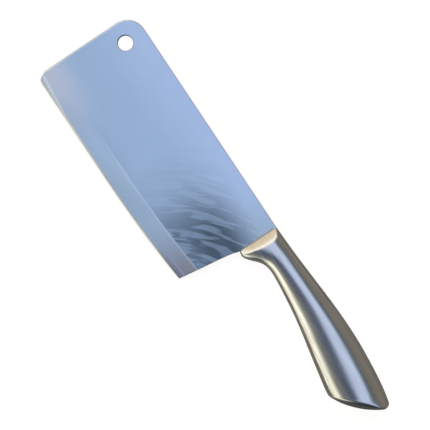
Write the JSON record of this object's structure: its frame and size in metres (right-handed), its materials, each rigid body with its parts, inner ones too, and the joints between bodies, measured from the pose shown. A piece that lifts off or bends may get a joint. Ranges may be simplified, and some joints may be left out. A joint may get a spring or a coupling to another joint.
{
  "type": "meat cleaver",
  "caption": "Rectangular steel cleaver blade with a round hang hole, a faceted bolster and a hollow, swelling steel grip with a domed slanted butt.",
  "frame": {"origin": "under the middle of the object's box, at the level of its lowest point, with the cleaver lying flat on its side", "axes": "+X from the blade's tip to the handle's butt, +Y from the cutting edge to the spine, +Z the normal of the blade's side that faces up"},
  "size_m": [0.3064, 0.0788, 0.0219],
  "materials": {
    "blade_steel": "satin ground stainless steel with a faint etched flow pattern",
    "handle_steel": "satin polished stainless steel",
    "weld_steel": "weld metal, ground flush and polished"
  },
  "bodies": {
    "root": {"blade": "blade_steel", "bolster": "handle_steel", "handle_shell_left": "handle_steel", "handle_shell_right": "handle_steel", "butt_cap": "handle_steel", "spine_seam_weld": "weld_steel", "belly_seam_weld": "weld_steel", "bolster_ring_weld": "weld_steel", "butt_ring_weld": "weld_steel", "tang_weld_left": "weld_steel", "tang_weld_right": "weld_steel"}
  },
  "joints": []
}
